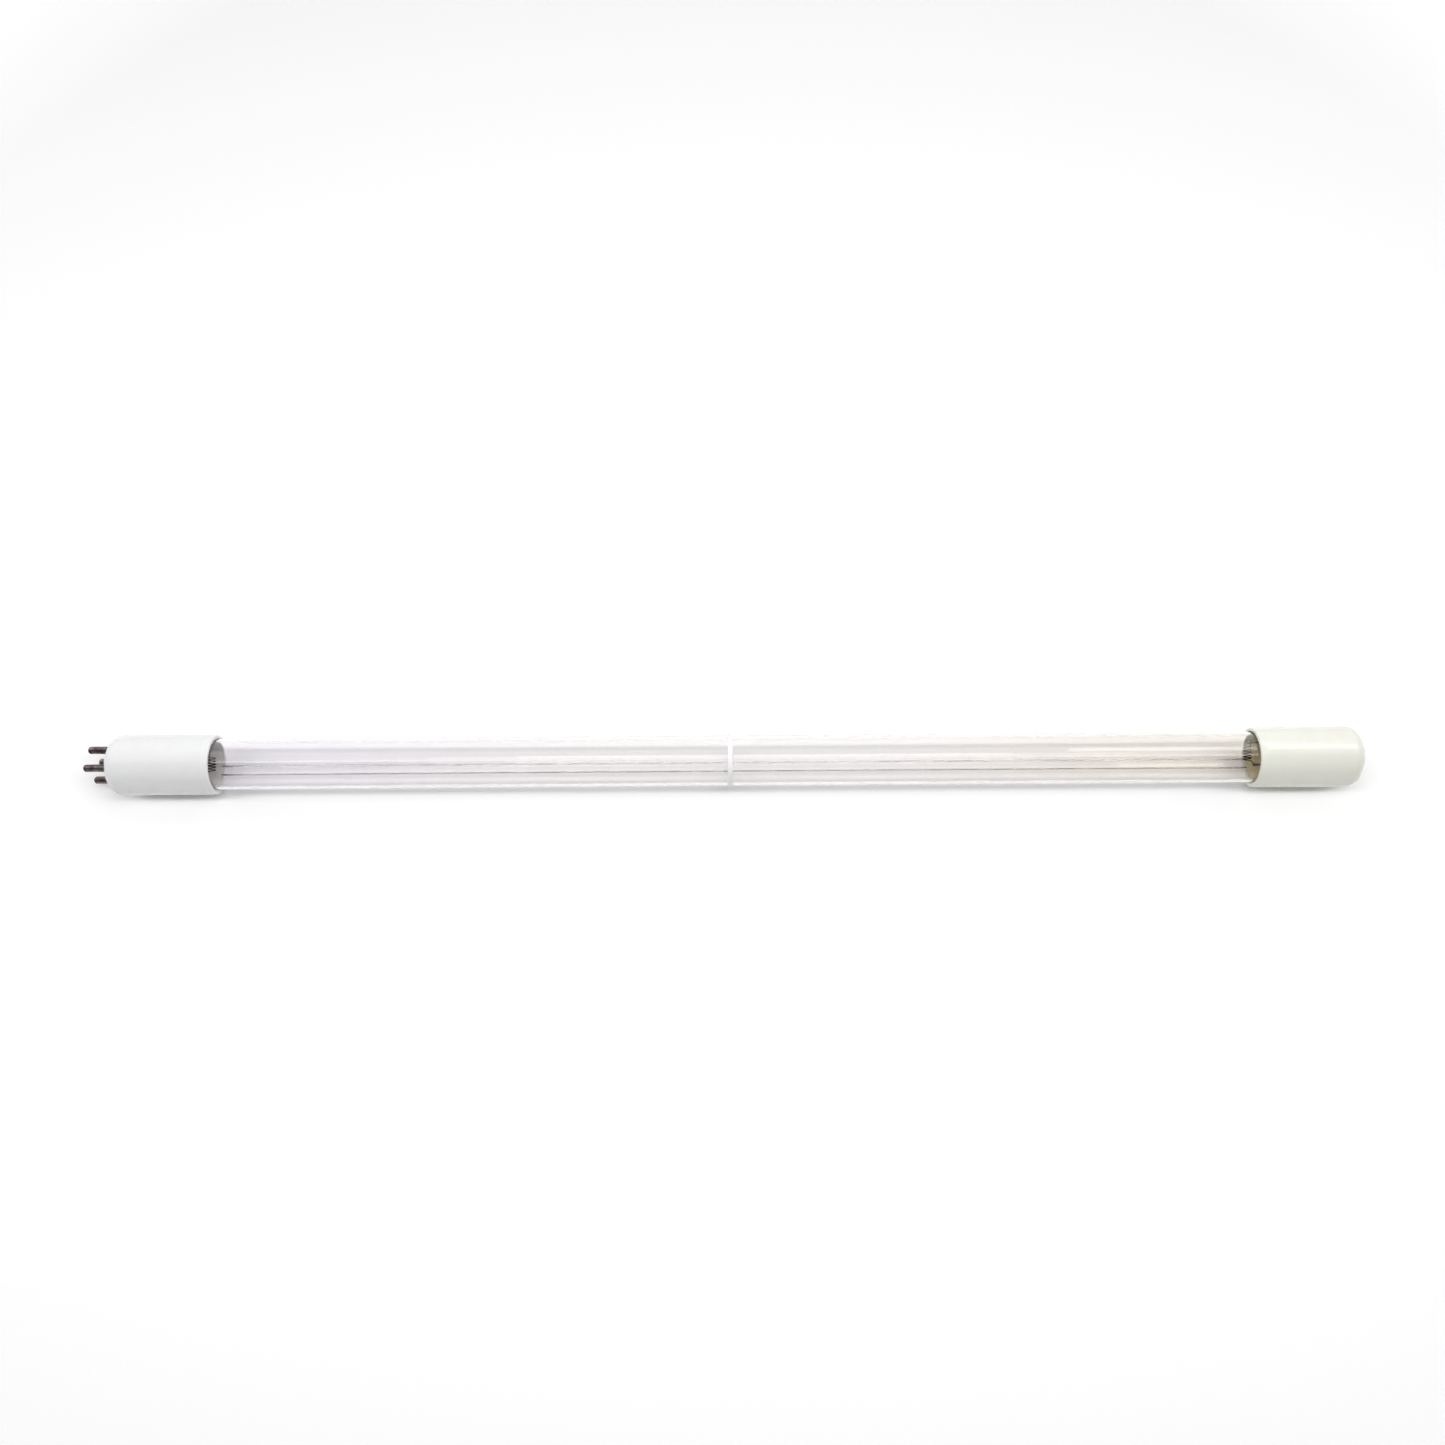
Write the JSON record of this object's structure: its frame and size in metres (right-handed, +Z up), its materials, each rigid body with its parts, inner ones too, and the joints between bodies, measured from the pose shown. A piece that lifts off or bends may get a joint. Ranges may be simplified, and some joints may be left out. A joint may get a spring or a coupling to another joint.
{
  "type": "germicidal lamp tube",
  "caption": "Slim clear glass germicidal lamp tube with a white ceramic cap at each end, contact pins on one cap and a narrow band at mid-length.",
  "frame": {"origin": "on the floor plane, under the middle of the whole length, pins included", "axes": "+X along the lamp towards the closed end cap, +Z up as the lamp lies"},
  "size_m": [0.3968, 0.019, 0.019],
  "materials": {
    "clear_glass": "clear, polished",
    "stem_glass": "clear, pressed",
    "white_ceramic": "white glaze",
    "basing_cement": "matte tan",
    "pin_plate": "dulled nickel plate",
    "solder": "dull tin solder",
    "lead_wire": "drawn nickel wire, darkened by heat",
    "tungsten": "coiled tungsten with a grey emitter coat",
    "return_wire": "drawn nickel wire",
    "sleeve_resin": "translucent white",
    "band_resin": "white, smooth",
    "splice_metal": "plain brass",
    "mercury": "liquid metal"
  },
  "bodies": {
    "root": {"glass_tube": "clear_glass", "pin_end_stem": "stem_glass", "far_end_stem": "stem_glass", "pin_end_filament": "tungsten", "far_end_filament": "tungsten", "pin_base": "white_ceramic", "end_cap": "white_ceramic", "pin_end_cement": "basing_cement", "far_end_cement": "basing_cement", "retaining_band": "band_resin", "mercury_drop": "mercury", "pin_end_lead_a": "lead_wire", "pin_end_lead_b": "lead_wire", "far_end_lead_a": "lead_wire", "far_end_lead_b": "lead_wire", "splice_1": "splice_metal", "return_wire_1": "return_wire", "wire_sleeve_1": "sleeve_resin", "splice_2": "splice_metal", "return_wire_2": "return_wire", "wire_sleeve_2": "sleeve_resin", "contact_pin_1": "pin_plate", "solder_tip_1": "solder", "contact_pin_2": "pin_plate", "solder_tip_2": "solder", "contact_pin_3": "pin_plate", "solder_tip_3": "solder", "contact_pin_4": "pin_plate", "solder_tip_4": "solder"}
  },
  "joints": []
}
